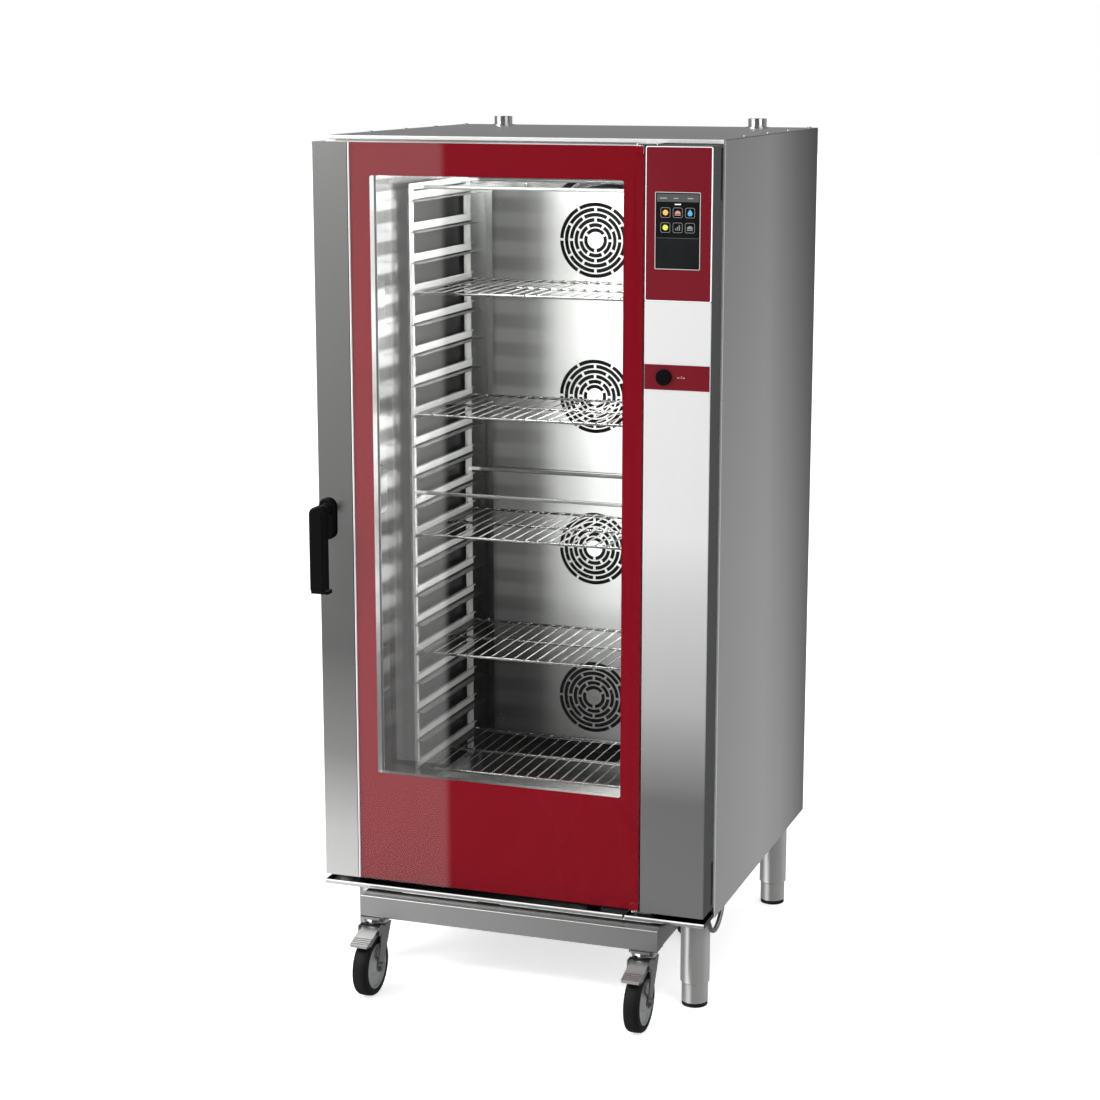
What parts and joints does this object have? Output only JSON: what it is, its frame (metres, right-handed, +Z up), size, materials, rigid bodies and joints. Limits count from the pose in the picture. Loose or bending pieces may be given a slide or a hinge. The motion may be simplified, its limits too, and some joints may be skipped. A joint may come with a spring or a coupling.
{
  "type": "combi steamer oven",
  "caption": "Tall roll-in steam oven on legs: full-height glass door hinged at the right, control column, fans behind slotted baffles, and a shelf trolley on castors.",
  "frame": {"origin": "on the floor, at the centre of the whole object's footprint", "axes": "+X to the right seen from the front, +Y to the back, +Z up"},
  "size_m": [0.82, 0.9704, 1.772],
  "materials": {
    "steel_body": "brushed stainless steel sheet",
    "steel_cavity": "bright drawn stainless steel sheet",
    "steel_rack": "electropolished wire and strip",
    "steel_bright": "polished steel",
    "wool": "mineral wool",
    "motor": "cast housing",
    "element": "dull heated steel tube",
    "seal": "matt rubber",
    "glass": "clear toughened glass",
    "print": "red enamel behind glass",
    "control_red": "red enamelled glass",
    "screen": "dark glossy display",
    "board": "circuit board",
    "housing": "dark grey paint",
    "handle": "black moulded plastic",
    "plug": "black rubber",
    "lamp": "frosted glass",
    "castor_steel": "zinc-plated steel",
    "castor_tyre": "black tyre on a grey plastic disc",
    "foot": "steel foot with a dark pad"
  },
  "bodies": {
    "oven": {"top_cover": "steel_body", "cover_screws": "steel_bright", "side_panels": "steel_body", "back_panel": "steel_body", "rear_connections": "steel_bright", "base_frame": "steel_body", "leg_tubes": "steel_body", "front_frame": "steel_body", "cavity_liner": "steel_cavity", "cavity_insulation": "wool", "side_air_panels": "steel_cavity", "fan_baffles": "steel_cavity", "fan_motors": "motor", "heating_elements": "element", "steam_pipe": "steel_bright", "lamp_covers": "lamp", "door_gasket": "seal", "column_housing": "housing", "column_cover": "steel_body", "control_glass": "control_red", "touch_screen": "screen", "control_board": "board", "vent_stubs": "steel_bright", "hinge_brackets": "steel_bright", "column_drip_channel": "steel_body"},
    "door": {"door_glass": "glass", "door_print": "print", "door_frame": "steel_body", "door_side_strip": "steel_body", "door_inner_glass": "glass", "door_drip_channel": "steel_body", "handle_base": "handle"},
    "door_handle": {"handle_lever": "handle", "latch_spindle": "steel_bright"},
    "usb_plug": {"usb_cap": "plug"},
    "trolley": {"trolley_frame": "steel_body", "trolley_deck": "steel_body", "rack_frame": "steel_rack", "rack_runners": "steel_rack", "wire_grids": "steel_rack", "drip_pan": "steel_cavity"},
    "fan_1": {"fan_wheel_1": "steel_cavity"},
    "fan_2": {"fan_wheel_2": "steel_cavity"},
    "fan_3": {"fan_wheel_3": "steel_cavity"},
    "fan_4": {"fan_wheel_4": "steel_cavity"},
    "levelling_foot_front_left": {"foot_front_left": "foot"},
    "levelling_foot_front_right": {"foot_front_right": "foot"},
    "levelling_foot_rear_left": {"foot_rear_left": "foot"},
    "levelling_foot_rear_right": {"foot_rear_right": "foot"},
    "fork_front_left": {"caster_fork_front_left": "castor_steel"},
    "wheel_front_left": {"caster_wheel_front_left": "castor_tyre"},
    "brake_front_left": {"brake_pedal_front_left": "castor_steel"},
    "fork_front_right": {"caster_fork_front_right": "castor_steel"},
    "wheel_front_right": {"caster_wheel_front_right": "castor_tyre"},
    "brake_front_right": {"brake_pedal_front_right": "castor_steel"},
    "fork_rear_left": {"caster_fork_rear_left": "castor_steel"},
    "wheel_rear_left": {"caster_wheel_rear_left": "castor_tyre"},
    "fork_rear_right": {"caster_fork_rear_right": "castor_steel"},
    "wheel_rear_right": {"caster_wheel_rear_right": "castor_tyre"}
  },
  "joints": [
    {"name": "door_hinge", "type": "hinge", "parent": "oven", "child": "door", "pos_m": [0.2655, -0.36775, 1], "axis": [0, 0, 1], "range_deg": [0, 105]},
    {"name": "handle_turn", "type": "hinge", "parent": "door", "child": "door_handle", "pos_m": [-0.387, -0.41975, 1.008], "axis": [0, -1, 0], "range_deg": [0, 90]},
    {"name": "usb_plug_pull", "type": "slide", "parent": "oven", "child": "usb_plug", "axis": [0, -1, 0], "range_m": [0, 0.015]},
    {"name": "trolley_roll", "type": "slide", "parent": "oven", "child": "trolley", "axis": [0, -1, 0], "range_m": [0, 0.06]},
    {"name": "fan_1_spin", "type": "hinge", "parent": "oven", "child": "fan_1", "pos_m": [-0.019, 0.34825, 0.496], "axis": [0, 1, 0], "continuous": true},
    {"name": "fan_2_spin", "type": "hinge", "parent": "oven", "child": "fan_2", "pos_m": [-0.019, 0.34825, 0.836], "axis": [0, 1, 0], "continuous": true},
    {"name": "fan_3_spin", "type": "hinge", "parent": "oven", "child": "fan_3", "pos_m": [-0.019, 0.34825, 1.1755], "axis": [0, 1, 0], "continuous": true},
    {"name": "fan_4_spin", "type": "hinge", "parent": "oven", "child": "fan_4", "pos_m": [-0.019, 0.34825, 1.515], "axis": [0, 1, 0], "continuous": true},
    {"name": "foot_front_left_height", "type": "slide", "parent": "oven", "child": "levelling_foot_front_left", "axis": [0, 0, -1], "range_m": [0, 0.04]},
    {"name": "foot_front_right_height", "type": "slide", "parent": "oven", "child": "levelling_foot_front_right", "axis": [0, 0, -1], "range_m": [0, 0.04]},
    {"name": "foot_rear_left_height", "type": "slide", "parent": "oven", "child": "levelling_foot_rear_left", "axis": [0, 0, -1], "range_m": [0, 0.04]},
    {"name": "foot_rear_right_height", "type": "slide", "parent": "oven", "child": "levelling_foot_rear_right", "axis": [0, 0, -1], "range_m": [0, 0.04]},
    {"name": "castor_front_left_swivel", "type": "hinge", "parent": "trolley", "child": "fork_front_left", "pos_m": [-0.291, -0.38775, 0.15], "axis": [0, 0, 1], "continuous": true},
    {"name": "castor_front_left_roll", "type": "hinge", "parent": "fork_front_left", "child": "wheel_front_left", "pos_m": [-0.291, -0.42275, 0.0625], "axis": [1, 0, 0], "continuous": true},
    {"name": "brake_front_left_press", "type": "hinge", "parent": "fork_front_left", "child": "brake_front_left", "pos_m": [-0.291, -0.42275, 0.14], "axis": [1, 0, 0], "range_deg": [0, 8]},
    {"name": "castor_front_right_swivel", "type": "hinge", "parent": "trolley", "child": "fork_front_right", "pos_m": [0.291, -0.38775, 0.15], "axis": [0, 0, 1], "continuous": true},
    {"name": "castor_front_right_roll", "type": "hinge", "parent": "fork_front_right", "child": "wheel_front_right", "pos_m": [0.291, -0.42275, 0.0625], "axis": [1, 0, 0], "continuous": true},
    {"name": "brake_front_right_press", "type": "hinge", "parent": "fork_front_right", "child": "brake_front_right", "pos_m": [0.291, -0.42275, 0.14], "axis": [1, 0, 0], "range_deg": [0, 8]},
    {"name": "castor_rear_left_swivel", "type": "hinge", "parent": "trolley", "child": "fork_rear_left", "pos_m": [-0.235, 0.16625, 0.15], "axis": [0, 0, 1], "continuous": true},
    {"name": "castor_rear_left_roll", "type": "hinge", "parent": "fork_rear_left", "child": "wheel_rear_left", "pos_m": [-0.235, 0.13125, 0.0625], "axis": [1, 0, 0], "continuous": true},
    {"name": "castor_rear_right_swivel", "type": "hinge", "parent": "trolley", "child": "fork_rear_right", "pos_m": [0.235, 0.16625, 0.15], "axis": [0, 0, 1], "continuous": true},
    {"name": "castor_rear_right_roll", "type": "hinge", "parent": "fork_rear_right", "child": "wheel_rear_right", "pos_m": [0.235, 0.13125, 0.0625], "axis": [1, 0, 0], "continuous": true}
  ]
}
